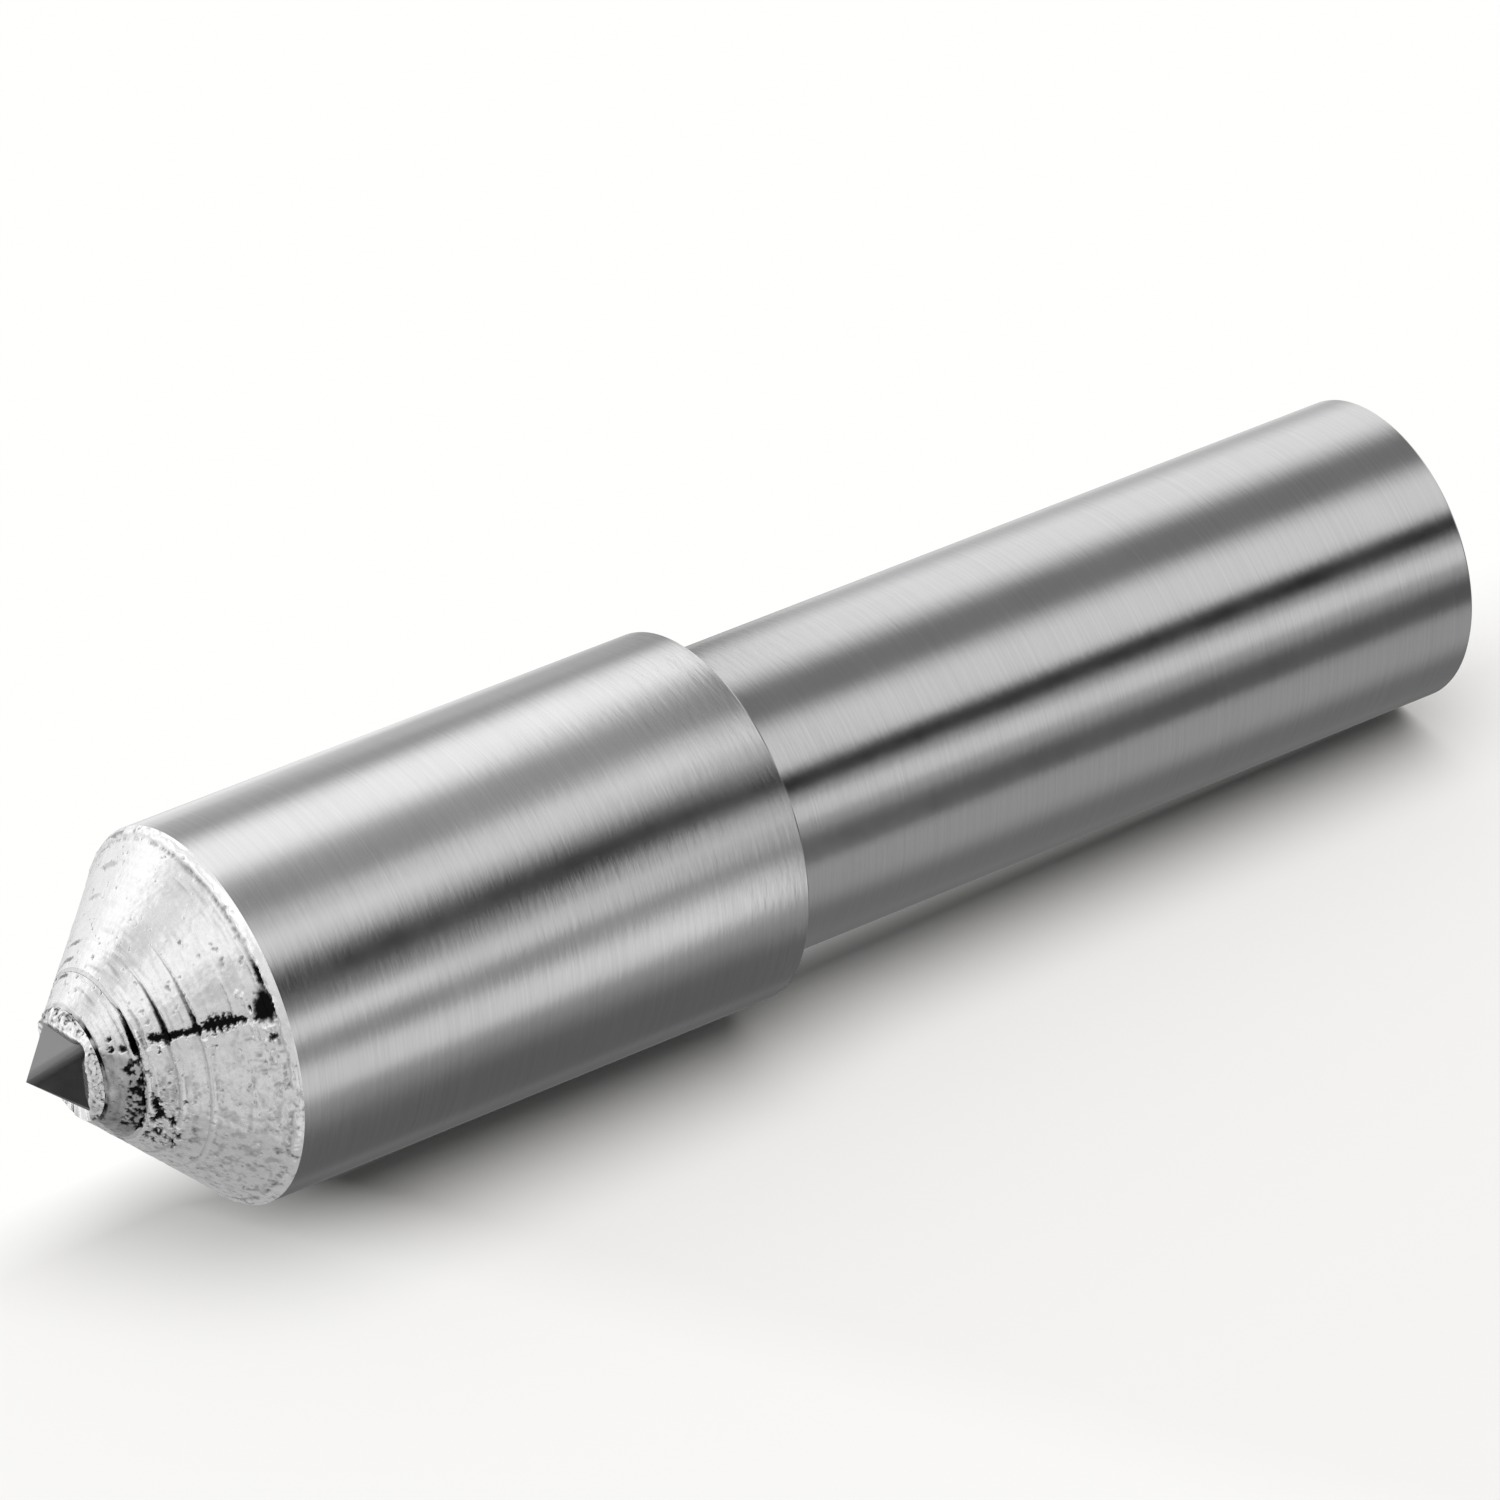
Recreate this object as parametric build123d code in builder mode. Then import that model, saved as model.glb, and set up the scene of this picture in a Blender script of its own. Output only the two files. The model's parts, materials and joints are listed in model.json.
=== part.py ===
from build123d import *
import os
from math import cos, radians, sin, tan

# Single-point diamond wheel dresser, in millimetres and degrees.
# The tool stands on its shank's end: origin at the middle of that end, +Z towards the diamond.

# Holder: ground shank and head with a turned cone in front
shank_diameter = 10.0
shank_length = 26.5
shank_end_chamfer = 0.1
shoulder_fillet = 0.3
head_diameter = 12.0
head_length = 18.3
head_edge_chamfer = 0.08
cone_angle = 89.0

# Burr lip at the cone's base, with a fine groove in front of it
lip_width = 0.3
lip_height = 0.05
lip_groove_width = 0.1
lip_groove_depth = 0.05

# Turned ridges of the cone: distances run back from the mouth of the insert's bore
ridge_groove_width = 0.14
ridge_groove_depth = 0.08
front_ridge_distance = 0.2
middle_ridge_distance = 0.65
rear_ridge_distance = 1.35

# Matrix insert, brazed into a blind bore in the head
insert_diameter = 5.2
insert_length = 9.0
braze_gap = 0.1
braze_recess = 0.14

# Stone: a plain octahedron, its girdle's corners turned about the axis by stone_turn
stone_corner_radius = 1.6
stone_half_height = 1.48
stone_turn = 12.5

# Solder round the stone: it fills the insert's drilled socket and stands out as a collar
solder_gap = 0.05
drill_point_angle = 118.0
insert_rim = 0.14
collar_length = 0.37
collar_wall = 0.08
collar_bulge = 0.09
collar_groove_width = 0.1
collar_groove_depth = 0.05

# Radii and slopes
shank_radius = shank_diameter / 2
head_radius = head_diameter / 2
insert_radius = insert_diameter / 2
bore_radius = insert_radius + braze_gap
socket_radius = stone_corner_radius + solder_gap
flank_angle = radians(cone_angle / 2)
drill_angle = radians(drill_point_angle / 2)

# Heights along the axis
cone_base_z = shank_length + head_length
cone_tip_z = cone_base_z + head_radius / tan(flank_angle)


def flank_radius(z):
    """Radius of the plain cone at a height."""
    return (cone_tip_z - z) * tan(flank_angle)


def flank_z(radius):
    """Height at which the plain cone has a radius."""
    return cone_tip_z - radius / tan(flank_angle)


def flank_point(z, forward=0.0, outward=0.0):
    """Profile point at a height on the flank, moved along the flank and square to it."""
    x = flank_radius(z) - forward * sin(flank_angle) + outward * cos(flank_angle)
    return (x, z + forward * cos(flank_angle) + outward * sin(flank_angle))


def cut_ring(z, width, depth):
    """Cut a turned V groove into the flank round a height."""
    with BuildSketch(Plane.XZ) as notch:
        with BuildLine():
            Polyline(
                flank_point(z, width, depth),
                flank_point(z, -width, depth),
                flank_point(z, 0, -depth),
                close=True,
            )
        make_face()
    revolve(notch.sketch, axis=Axis.Z, mode=Mode.SUBTRACT)


# Insert's place in the head
bore_mouth_z = flank_z(bore_radius)
insert_front_z = flank_z(insert_radius)
insert_bottom_z = insert_front_z - insert_length
bore_bottom_z = insert_bottom_z - braze_gap

# Stone's place in the insert
collar_rear_radius = socket_radius + insert_rim
collar_rear_z = flank_z(collar_rear_radius)
collar_front_z = collar_rear_z + collar_length
collar_front_radius = flank_radius(collar_front_z)
stone_exposed = (collar_front_radius - collar_wall) * stone_half_height / stone_corner_radius
point_z = collar_front_z + stone_exposed
girdle_z = point_z - stone_half_height
stone_rear_z = girdle_z - stone_half_height
drill_tip_z = stone_rear_z - solder_gap
socket_floor_z = drill_tip_z + socket_radius / tan(drill_angle)

# Holder
with BuildPart() as holder:
    with BuildSketch(Plane.XZ):
        with BuildLine():
            Polyline(
                (0, 0),
                (shank_radius - shank_end_chamfer, 0),
                (shank_radius, shank_end_chamfer),
                (shank_radius, shank_length - shoulder_fillet),
            )
            RadiusArc(
                (shank_radius, shank_length - shoulder_fillet),
                (shank_radius + shoulder_fillet, shank_length),
                shoulder_fillet,
            )
            Polyline(
                (shank_radius + shoulder_fillet, shank_length),
                (head_radius - head_edge_chamfer, shank_length),
                (head_radius, shank_length + head_edge_chamfer),
                (head_radius, cone_base_z),
                flank_point(cone_base_z, 2 * lip_height, lip_height),
                flank_point(cone_base_z + lip_width, 0, lip_height),
                flank_point(cone_base_z + lip_width, lip_height, 0),
                (bore_radius, bore_mouth_z),
                (bore_radius, bore_bottom_z),
                (0, bore_bottom_z),
                (0, 0),
            )
        make_face()
    revolve(axis=Axis.Z)
    cut_ring(cone_base_z + lip_width + lip_groove_width / 2, lip_groove_width, lip_groove_depth)
    for ridge_distance in (front_ridge_distance, middle_ridge_distance, rear_ridge_distance):
        cut_ring(bore_mouth_z - ridge_distance, ridge_groove_width, ridge_groove_depth)
holder.part.label = "holder"

# Matrix insert
with BuildPart() as matrix_insert:
    with BuildSketch(Plane.XZ):
        with BuildLine():
            Polyline(
                (0, insert_bottom_z),
                (insert_radius, insert_bottom_z),
                (insert_radius, insert_front_z),
                (collar_rear_radius, collar_rear_z),
                (socket_radius, collar_rear_z),
                (socket_radius, socket_floor_z),
                (0, drill_tip_z),
                close=True,
            )
        make_face()
    revolve(axis=Axis.Z)
    cut_ring(collar_rear_z - collar_groove_width, collar_groove_width, collar_groove_depth)
matrix_insert.part.label = "matrix_insert"

# Braze between insert and bore
with BuildPart() as insert_braze:
    with BuildSketch(Plane.XZ):
        with BuildLine():
            Polyline(
                (0, bore_bottom_z),
                (bore_radius, bore_bottom_z),
                (bore_radius, bore_mouth_z - braze_recess),
                (insert_radius, bore_mouth_z - braze_recess),
                (insert_radius, insert_bottom_z),
                (0, insert_bottom_z),
                close=True,
            )
        make_face()
    revolve(axis=Axis.Z)
insert_braze.part.label = "insert_braze"

# Diamond
with BuildPart() as diamond:
    with BuildSketch(Plane.XY.offset(girdle_z)) as girdle:
        RegularPolygon(radius=stone_corner_radius, side_count=4, rotation=stone_turn)
    loft(sections=[girdle.sketch.face(), Vertex(0, 0, point_z)])
    loft(sections=[girdle.sketch.face(), Vertex(0, 0, stone_rear_z)])
diamond.part.label = "diamond"

# Solder round the stone
with BuildPart() as setting_solder:
    with BuildSketch(Plane.XZ):
        with BuildLine():
            Polyline(
                (0, drill_tip_z),
                (socket_radius, socket_floor_z),
                (socket_radius, collar_rear_z),
                (collar_rear_radius, collar_rear_z),
            )
            ThreePointArc(
                (collar_rear_radius, collar_rear_z),
                flank_point(collar_rear_z + collar_length / 2, 0, collar_bulge),
                (collar_front_radius, collar_front_z),
            )
            Polyline(
                (collar_front_radius, collar_front_z),
                (0, collar_front_z),
                (0, drill_tip_z),
            )
        make_face()
    revolve(axis=Axis.Z)
    add(diamond.part, mode=Mode.SUBTRACT)
setting_solder.part.label = "setting_solder"

# Files
os.makedirs("parts", exist_ok=True)
for piece in (holder, matrix_insert, insert_braze, setting_solder, diamond):
    export_step(piece.part, f"parts/{piece.part.label}.step")
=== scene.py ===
import json
import math

import bpy
import numpy as np
from mathutils import Euler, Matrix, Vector, noise


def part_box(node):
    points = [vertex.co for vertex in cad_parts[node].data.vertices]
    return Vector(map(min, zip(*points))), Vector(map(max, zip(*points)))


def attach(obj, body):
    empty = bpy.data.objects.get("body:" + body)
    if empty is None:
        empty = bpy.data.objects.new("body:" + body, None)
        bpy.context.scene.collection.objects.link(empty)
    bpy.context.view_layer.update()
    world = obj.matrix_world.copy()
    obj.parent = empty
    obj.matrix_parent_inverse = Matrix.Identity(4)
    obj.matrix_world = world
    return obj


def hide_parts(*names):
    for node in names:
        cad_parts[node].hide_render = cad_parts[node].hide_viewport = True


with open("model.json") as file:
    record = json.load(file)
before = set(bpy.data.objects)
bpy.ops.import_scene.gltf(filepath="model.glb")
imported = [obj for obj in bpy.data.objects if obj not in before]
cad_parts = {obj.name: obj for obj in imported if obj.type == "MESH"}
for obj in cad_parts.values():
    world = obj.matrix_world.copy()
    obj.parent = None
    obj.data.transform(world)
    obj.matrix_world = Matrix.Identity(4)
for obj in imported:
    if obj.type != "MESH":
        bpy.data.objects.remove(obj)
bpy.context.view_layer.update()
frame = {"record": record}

# Units and directions
# Blender works in metres, and lengths here are written in millimetres times MM.
# Angles round the tool are in degrees. They run from the side that faces the camera (-Y) towards
# -X, which is the lower side of the tool in the photograph.
MM = 0.001
BODY = "root"

# Sizes read from the frame
mounts = {mount["name"]: mount for mount in frame["record"]["mounts"]}
holder_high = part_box("holder")[1]
insert_low, insert_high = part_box("matrix_insert")
braze_low, braze_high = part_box("insert_braze")
solder_low, solder_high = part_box("setting_solder")
diamond_low, diamond_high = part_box("diamond")

shank_radius = mounts["shank"]["dims"]["r_mm"] * MM
shoulder_z = mounts["shoulder"]["pos_m"][2]
head_radius = holder_high.x
cone_base_z = mounts["head"]["pos_m"][2] + mounts["head"]["dims"]["length_mm"] / 2 * MM
insert_radius = insert_high.x
bore_radius = braze_high.x
bore_mouth_z = holder_high.z
bore_bottom_z = braze_low.z
insert_bottom_z = insert_low.z
collar_rear_z = insert_high.z
collar_front_z = solder_high.z
solder_tip_z = solder_low.z
point_z = diamond_high.z
stone_rear_z = diamond_low.z

# The plain cone, from its base circle to the mouth of the insert's bore
cone_slope = math.atan2(head_radius - bore_radius, bore_mouth_z - cone_base_z)
cone_tip_z = cone_base_z + head_radius / math.tan(cone_slope)

# Sizes that the frame doesn't give
END_CHAMFER = 0.1 * MM
SHOULDER_FILLET = 0.3 * MM
HEAD_CHAMFER = 0.08 * MM
SOCKET_RADIUS = 1.65 * MM
DRILL_HALF_ANGLE = 59
STONE_TURN = -12.5


def flank_radius(z):
    """Radius of the plain cone at a height."""
    return (cone_tip_z - z) * math.tan(cone_slope)


def flank_z(radius):
    """Height at which the plain cone has a radius."""
    return cone_tip_z - radius / math.tan(cone_slope)


# The stone's socket in the insert, and the rim where insert and solder collar meet
socket_floor_z = solder_tip_z + SOCKET_RADIUS / math.tan(math.radians(DRILL_HALF_ANGLE))
collar_rear_rim = (flank_radius(collar_rear_z), collar_rear_z)


# Noise and curves
# How fast the noise's octaves fade, and how much finer each one is than the one before
OCTAVE_FADE = 0.8
OCTAVE_RATIO = 2.0
# Points closer than this count as one place
CLOSE = 0.001 * MM


def field(points, size, octaves, seed, squash=(1.0, 1.0, 1.0)):
    """Smooth noise of about -1 to 1 at points in metres, with lumps of a size in metres."""
    places = (points / size * np.array(squash) + seed).reshape(-1, 3)
    values = [noise.fractal(Vector(place), OCTAVE_FADE, OCTAVE_RATIO, octaves) for place in places]
    return np.array(values).reshape(points.shape[:-1])


def rise(value, low, high):
    """0 below low, 1 above high, smooth between."""
    t = np.clip((value - low) / (high - low), 0, 1)
    return t * t * (3 - 2 * t)


def between(value, low, high, soft):
    """1 from low to high, falling smoothly to 0 over a width outside both."""
    return rise(value, low - soft, low) * (1 - rise(value, high, high + soft))


def notch(value, centre, half_width):
    """1 at the centre, straight down to 0 at half_width from it, as a V groove."""
    return np.clip(1 - np.abs(value - centre) / half_width, 0, 1)


def turn_gap(angle, centre):
    """Signed difference of two angles, from -180 to 180."""
    return (angle - centre + 180) % 360 - 180


def on_flank(points):
    """Which rows of a turned mesh's points lie on the plain cone."""
    radius = np.hypot(points[..., 0], points[..., 1])
    return (np.abs(radius - flank_radius(points[..., 2])) < CLOSE).all(axis=1)


# Objects and turned meshes
def add_object(name, data):
    """A new object in the scene."""
    made = bpy.data.objects.new(name, data)
    bpy.context.scene.collection.objects.link(made)
    return made


def lathe(name, profile, segments, shape=None, hard=()):
    """A closed solid turned about Z. profile holds (radius, z) points from axis to axis.

    shape(points, outward, angle) returns the moved points and their tone, from -1 for burnished
    metal and painted highlights to 1 for black pits, marks and painted shade. hard lists the
    profile points that have a sharp edge.
    """
    profile = np.array(profile)
    ring = profile[1:-1]
    along = profile[2:] - profile[:-2]
    along /= np.linalg.norm(along, axis=1)[:, None]
    angle = np.broadcast_to(np.arange(segments) * 360 / segments, (len(ring), segments))
    turned = np.stack([-np.sin(np.radians(angle)), -np.cos(np.radians(angle))], axis=-1)

    points = np.empty((len(ring), segments, 3))
    points[..., :2] = ring[:, None, :1] * turned
    points[..., 2] = ring[:, 1:]
    outward = np.empty(points.shape)
    outward[..., :2] = along[:, None, 1:] * turned
    outward[..., 2] = -along[:, :1]
    tone = np.zeros(angle.shape)
    if shape:
        points, tone = shape(points, outward, angle)

    rows = len(ring)
    poles = [[0, 0, profile[0, 1]], [0, 0, profile[-1, 1]]]
    vertices = np.concatenate([points.reshape(-1, 3), poles])
    first_pole, last_pole = rows * segments, rows * segments + 1
    start = np.arange(segments)
    after = (start + 1) % segments
    faces = []
    for low in range(0, (rows - 1) * segments, segments):
        high = low + segments
        faces += np.stack([low + start, high + start, high + after, low + after], axis=1).tolist()
    top = (rows - 1) * segments
    faces += [[first_pole, i, j] for i, j in zip(start.tolist(), after.tolist())]
    faces += [[last_pole, top + j, top + i] for i, j in zip(start.tolist(), after.tolist())]

    mesh = bpy.data.meshes.new(name)
    mesh.from_pydata(vertices.tolist(), [], faces)
    mesh.update()
    tones = mesh.attributes.new("tone", "FLOAT", "POINT")
    tones.data.foreach_set("value", np.append(tone.ravel(), [0, 0]).astype(np.float32))
    mesh.polygons.foreach_set("use_smooth", [True] * len(mesh.polygons))
    ends = np.empty(len(mesh.edges) * 2, int)
    mesh.edges.foreach_get("vertices", ends)
    end_rows = ends.reshape(-1, 2) // segments
    sharp = (end_rows[:, 0] == end_rows[:, 1]) & np.isin(end_rows[:, 0] + 1, hard)
    sharp_edges = mesh.attributes.new("sharp_edge", "BOOLEAN", "EDGE")
    sharp_edges.data.foreach_set("value", sharp)
    return add_object(name, mesh)


def line(start, end, spacing):
    """Points after start, up to end, along a straight line and about spacing apart."""
    start, end = np.array(start), np.array(end)
    count = max(1, round(float(np.linalg.norm(end - start)) / spacing))
    return [tuple(start + (end - start) * i / count) for i in range(1, count + 1)]


# Material helpers
def material(name):
    """A new material, its node tree and its Principled shader."""
    made = bpy.data.materials.new(name)
    made.use_nodes = True
    return made, made.node_tree, made.node_tree.nodes["Principled BSDF"]


def add(tree, kind, **values):
    """A new node with its settings and the values of its inputs."""
    made = tree.nodes.new(kind)
    for key, value in values.items():
        if key in made.inputs:
            made.inputs[key].default_value = value
        else:
            setattr(made, key, value)
    return made


def noise_map(tree, size, detail=2.0, roughness=0.5, squash=(1, 1, 1)):
    """Noise in the object's own coordinates, with lumps of a size in metres."""
    place = add(tree, "ShaderNodeTexCoord")
    mapping = add(tree, "ShaderNodeMapping", Scale=squash)
    made = add(tree, "ShaderNodeTexNoise", Scale=1 / size, Detail=detail, Roughness=roughness)
    tree.links.new(place.outputs["Object"], mapping.inputs["Vector"])
    tree.links.new(mapping.outputs["Vector"], made.inputs["Vector"])
    return made.outputs["Fac"]


def remap(tree, source, low, high, source_low=0.0, source_high=1.0):
    """A value turned from one range into another."""
    made = add(tree, "ShaderNodeMapRange")
    made.inputs["From Min"].default_value = source_low
    made.inputs["From Max"].default_value = source_high
    made.inputs["To Min"].default_value = low
    made.inputs["To Max"].default_value = high
    tree.links.new(source, made.inputs["Value"])
    return made.outputs["Result"]


def blend(tree, factor, first, second):
    """A colour between two, each one a socket or a grey level."""
    made = add(tree, "ShaderNodeMix", data_type="RGBA")
    sockets = [socket for socket in made.inputs if socket.type == "RGBA"]
    for socket, colour in zip(sockets, (first, second)):
        if isinstance(colour, float):
            socket.default_value = (colour, colour, colour, 1)
        else:
            tree.links.new(colour, socket)
    tree.links.new(factor, made.inputs[0])
    return [socket for socket in made.outputs if socket.type == "RGBA"][0]


def bump(tree, shader, height, strength):
    """Fine relief from a height map."""
    made = add(tree, "ShaderNodeBump", Strength=strength, Distance=RELIEF_HEIGHT)
    tree.links.new(height, made.inputs["Height"])
    tree.links.new(made.outputs["Normal"], shader.inputs["Normal"])


# Materials
# Ranges that nearly all values of a noise map lie in
NOISE_RANGE = (0.3, 0.7)
MOTTLE_RANGE = (0.35, 0.65)
# Grey levels of the base colours
STEEL_GREYS = (0.605, 0.655)
# Burnished metal, whose grey also paints the highlights
BURNISHED_AND_HIGHLIGHT = 0.97
STONE_GREYS = (0.010, 0.032)
FROSTED = 0.13
# Roughness, from the smoothest places to the roughest
STEEL_ROUGHNESS = (0.16, 0.20)
STONE_ROUGHNESS = (0.06, 0.14)
# Fine relief
RELIEF_HEIGHT = 0.02 * MM
STEEL_RELIEF = 0.19
GRINDING_MARKS_SHARE = 0.1
# The stone's gloss where it is clear and where it is frosted, and its refractive index
STONE_GLOSS = (0.5, 0.04)
DIAMOND_IOR = 2.42


def ground_steel():
    """Cylindrically ground steel: a satin shine with very fine marks round the tool, which break
    the edges of its reflections."""
    made, tree, shader = material("ground_steel")
    marks = noise_map(tree, 8 * MM, detail=3.0, roughness=0.6, squash=(1, 1, 160))
    grain = noise_map(tree, 0.8 * MM, squash=(1, 1, 4))
    cloud = noise_map(tree, 2.5 * MM, detail=3.0, roughness=0.6)
    tint = blend(tree, remap(tree, marks, 0, 1, *NOISE_RANGE), *STEEL_GREYS)
    tree.links.new(tint, shader.inputs["Base Color"])
    satin = remap(tree, cloud, *STEEL_ROUGHNESS, *NOISE_RANGE)
    tree.links.new(satin, shader.inputs["Roughness"])
    height = add(tree, "ShaderNodeMath", operation="MULTIPLY_ADD")
    height.inputs[1].default_value = GRINDING_MARKS_SHARE
    tree.links.new(marks, height.inputs[0])
    tree.links.new(grain, height.inputs[2])
    bump(tree, shader, height.outputs[0], STEEL_RELIEF)
    shader.inputs["Metallic"].default_value = 1.0
    return made


def rough_metal(name, bright, darker, pitted_and_darkened, grain, shine, relief):
    """Rough metal, mottled between two grey levels, with a grain size and a range of roughness.

    The tone attribute of its mesh turns it to the grey of pits and painted shade above 0, and
    burnishes it below 0, which also paints highlights.
    """
    made, tree, shader = material(name)
    mottle = noise_map(tree, grain * 3, detail=4.0, roughness=0.65)
    fine = noise_map(tree, grain, detail=3.0, roughness=0.7)
    tone = add(tree, "ShaderNodeAttribute", attribute_name="tone").outputs["Fac"]
    surface = blend(tree, remap(tree, mottle, 0, 1, *MOTTLE_RANGE), darker, bright)
    burnish_and_highlight = blend(tree, remap(tree, tone, 0, 1, 0, -1), surface, BURNISHED_AND_HIGHLIGHT)
    pits_and_shade_dark = blend(tree, remap(tree, tone, 0, 1), burnish_and_highlight, pitted_and_darkened)
    tree.links.new(pits_and_shade_dark, shader.inputs["Base Color"])
    tree.links.new(remap(tree, fine, *shine, *NOISE_RANGE), shader.inputs["Roughness"])
    bump(tree, shader, fine, relief)
    shader.inputs["Metallic"].default_value = 1.0
    return made


def crystal():
    """Dark industrial diamond: polished and nearly opaque, cloudy inside, frosted where worn."""
    made, tree, shader = material("diamond_crystal")
    cloud = noise_map(tree, 0.5 * MM, detail=3.0)
    wear = add(tree, "ShaderNodeAttribute", attribute_name="tone").outputs["Fac"]
    frost = remap(tree, wear, 0, 1, 0.3, 1)
    tint = blend(tree, frost, blend(tree, cloud, *STONE_GREYS), FROSTED)
    tree.links.new(tint, shader.inputs["Base Color"])
    tree.links.new(remap(tree, cloud, *STONE_ROUGHNESS), shader.inputs["Roughness"])
    tree.links.new(remap(tree, wear, *STONE_GLOSS), shader.inputs["Specular IOR Level"])
    shader.inputs["IOR"].default_value = DIAMOND_IOR
    return made


STEEL = ground_steel()
TURNED = rough_metal(
    "turned_steel",
    bright=0.84,
    darker=0.77,
    pitted_and_darkened=0.008,
    grain=0.10 * MM,
    shine=(0.20, 0.34),
    relief=0.12,
)
MATRIX = rough_metal(
    "sintered_matrix",
    bright=0.84,
    darker=0.74,
    pitted_and_darkened=0.008,
    grain=0.06 * MM,
    shine=(0.16, 0.36),
    relief=0.3,
)
BRAZE = rough_metal(
    "braze",
    bright=0.75,
    darker=0.6,
    pitted_and_darkened=0.008,
    grain=0.05 * MM,
    shine=(0.3, 0.5),
    relief=0.4,
)
SOLDER = rough_metal(
    "solder",
    bright=0.90,
    darker=0.76,
    pitted_and_darkened=0.02,
    grain=0.06 * MM,
    shine=(0.12, 0.32),
    relief=0.4,
)
DIAMOND = crystal()

# The worn cone, with painted shade and painted highlights
# Distances run along the axis, back from the cone's virtual tip. They and the other lengths of
# this section are in millimetres.
# Each ring groove: distance, half width, depth
RINGS = (
    (2.12, 0.030, 0.018),
    (2.30, 0.030, 0.012),
    (2.50, 0.040, 0.035),
    (2.69, 0.105, 0.090),
    (2.92, 0.050, 0.030),
    (3.18, 0.025, 0.010),
    (3.41, 0.098, 0.085),
    (3.62, 0.035, 0.015),
    (3.85, 0.025, 0.008),
    (4.10, 0.080, 0.050),
    (4.45, 0.030, 0.008),
    (4.95, 0.035, 0.010),
    (5.40, 0.030, 0.008),
    (5.66, 0.030, 0.012),
)
# The scratch that runs down the cone: distance, angle, half width
SCRATCH = (
    (2.99, 2.5, 0.0),
    (3.05, 2.8, 0.18),
    (3.17, 3.4, 0.19),
    (3.26, 4.0, 0.10),
    (3.36, 4.6, 0.14),
    (3.41, 4.8, 0.26),
    (3.49, 5.0, 0.14),
    (3.70, 5.3, 0.12),
    (4.02, 5.8, 0.13),
    (4.10, 5.8, 0.26),
    (4.18, 6.0, 0.13),
    (4.24, 6.0, 0.05),
    (4.31, 6.0, 0.26),
    (4.48, 6.0, 0.31),
    (4.64, 6.0, 0.34),
    (4.80, 6.2, 0.28),
    (4.99, 6.6, 0.24),
    (5.07, 6.8, 0.08),
    (5.15, 7.2, 0.14),
    (5.25, 7.4, 0.0),
)
# Half width at which the scratch ends
SCRATCH_LEAST = 0.01
# Part of the scratch is a comb of short teeth
COMB_START = 4.32
COMB_END = 5.05
COMB_PITCH = 0.148
COMB_DEPTH = 0.55
# Each gouge: distance, angle, half length, half width
GOUGES = (
    (2.17, 1, 0.09, 0.12),
    (2.21, -7, 0.06, 0.06),
    (2.40, 3.5, 0.10, 0.13),
    (2.69, 4, 0.12, 0.36),
    (2.90, 44, 0.09, 0.26),
    (3.03, 52, 0.12, 0.30),
    (2.92, 59, 0.06, 0.12),
    (3.00, 68, 0.08, 0.24),
    (2.97, 78, 0.10, 0.14),
    (3.17, 12, 0.05, 0.06),
    (2.56, 30, 0.05, 0.18),
    (2.58, 54, 0.05, 0.26),
    (3.31, 56, 0.06, 0.32),
    (3.50, 66, 0.08, 0.20),
    (3.47, 74, 0.10, 0.14),
    (3.56, 41, 0.06, 0.09),
    (4.10, 1, 0.05, 0.30),
    (4.42, 14.5, 0.05, 0.04),
    (5.38, 4.5, 0.04, 0.10),
    (5.46, 8, 0.10, 0.12),
    (5.57, 6, 0.18, 0.48),
    (5.73, 5, 0.21, 0.68),
    (5.80, -4, 0.07, 0.60),
    (5.67, 15, 0.14, 0.12),
)
# Each burr, thrown up and painted bright as a painted highlight: distance, angle, half length,
# half width
HIGHLIT_BURRS = (
    (2.84, 6, 0.07, 0.60),
    (2.96, 10, 0.12, 0.14),
    (3.25, 10, 0.07, 0.10),
    (2.90, 63, 0.07, 0.14),
    (3.17, 66, 0.06, 0.22),
    (3.42, 61, 0.05, 0.14),
    (4.22, 12, 0.05, 0.12),
    (5.32, 12, 0.06, 0.35),
    (5.24, -1.5, 0.06, 0.14),
    (5.33, 1.5, 0.08, 0.22),
    (5.41, 8.5, 0.07, 0.40),
    (5.45, 13, 0.05, 0.28),
    (5.52, 17, 0.05, 0.30),
    (5.60, 21, 0.05, 0.20),
    (5.68, 11.8, 0.18, 0.07),
    (5.93, 6, 0.06, 0.30),
)
# Each greyer patch: distance, angle, half length, half width, tone
PATCHES = (
    (4.80, -9, 0.9, 0.75, 0.16),
    (3.75, -44, 0.8, 0.7, 0.12),
    (5.40, -46, 0.5, 0.5, 0.08),
    (3.35, 34, 0.65, 0.95, 0.25),
    (3.70, 58, 0.4, 1.0, 0.25),
    (4.90, 66, 0.7, 0.7, 0.10),
    (2.57, -90, 0.07, 0.45, 0.9),
    (2.97, -91, 0.06, 0.48, 0.75),
    (3.37, -91, 0.07, 0.52, 0.8),
    (4.46, -89, 0.07, 0.6, 0.3),
    (5.20, -87, 0.10, 0.7, 0.35),
    (5.97, -91, 0.09, 0.8, 0.6),
)
# Each zone of dark pits: its distances and their softness, then for each of its arcs the density,
# the angles and their softness
PIT_ZONES = (
    ((2.38, 2.64, 0.22), ((1.05, 18, 72, 12),)),
    ((2.86, 3.12, 0.10), ((0.62, 26, 84, 14), (0.40, 46, 76, 8))),
    ((3.26, 3.52, 0.15), ((0.35, 34, 84, 14), (0.30, 56, 80, 8))),
    ((2.00, 3.40, 0.30), ((0.35, 110, 180, 15), (0.35, -180, -110, 15))),
)
# Where the ring grooves meet the scratch, and how far from it the far side of the cone starts
SCRATCH_ANGLE = 5
FAR_SIDE_GAP = 104
# How far the edges of the marks are jagged
JAG = 0.04
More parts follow.
